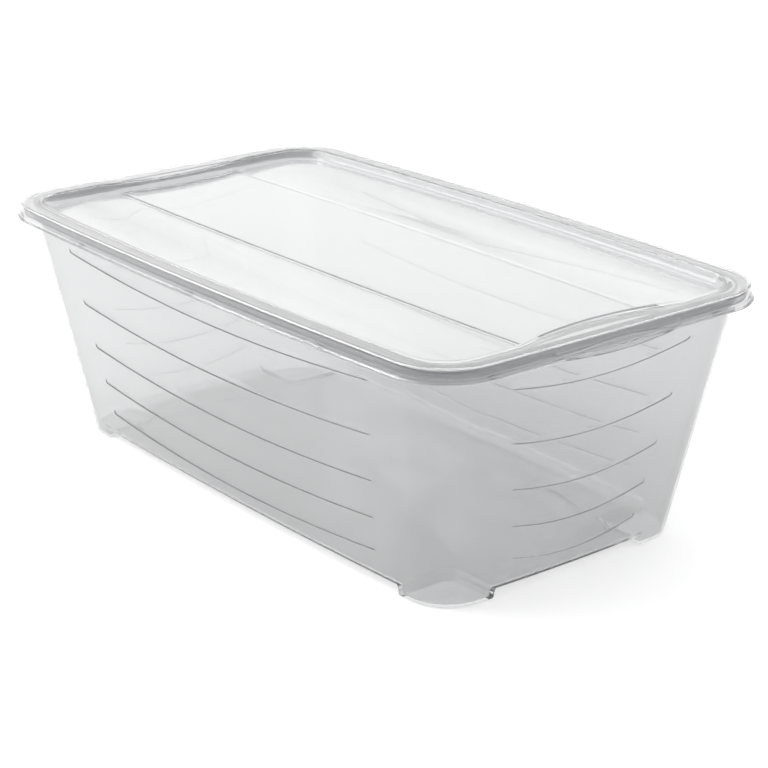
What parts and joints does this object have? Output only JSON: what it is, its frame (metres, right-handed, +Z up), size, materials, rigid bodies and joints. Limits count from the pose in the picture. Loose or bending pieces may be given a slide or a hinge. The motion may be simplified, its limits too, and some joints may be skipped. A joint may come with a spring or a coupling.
{
  "type": "storage box with lid",
  "caption": "Clear rectangular storage box: drafted tub with curved wall ribs and hollow corner feet, closed by a snap-over lid with a sunken panel and lifting tabs.",
  "frame": {"origin": "on the ground at the middle of the box, level with the undersides of the feet", "axes": "+X along the length, +Y along the width, +Z up through the lid"},
  "size_m": [0.3416, 0.2, 0.117],
  "materials": {
    "clear_tub": "clear, slightly grey, smooth moulded plastic",
    "clear_lid": "clear, slightly grey, smooth moulded plastic"
  },
  "bodies": {
    "tub": {"tub": "clear_tub"},
    "lid": {"lid": "clear_lid"}
  },
  "joints": [
    {"name": "lid_lift", "type": "slide", "parent": "tub", "child": "lid", "axis": [0, 0, 1], "range_m": [0, 0.15]}
  ]
}
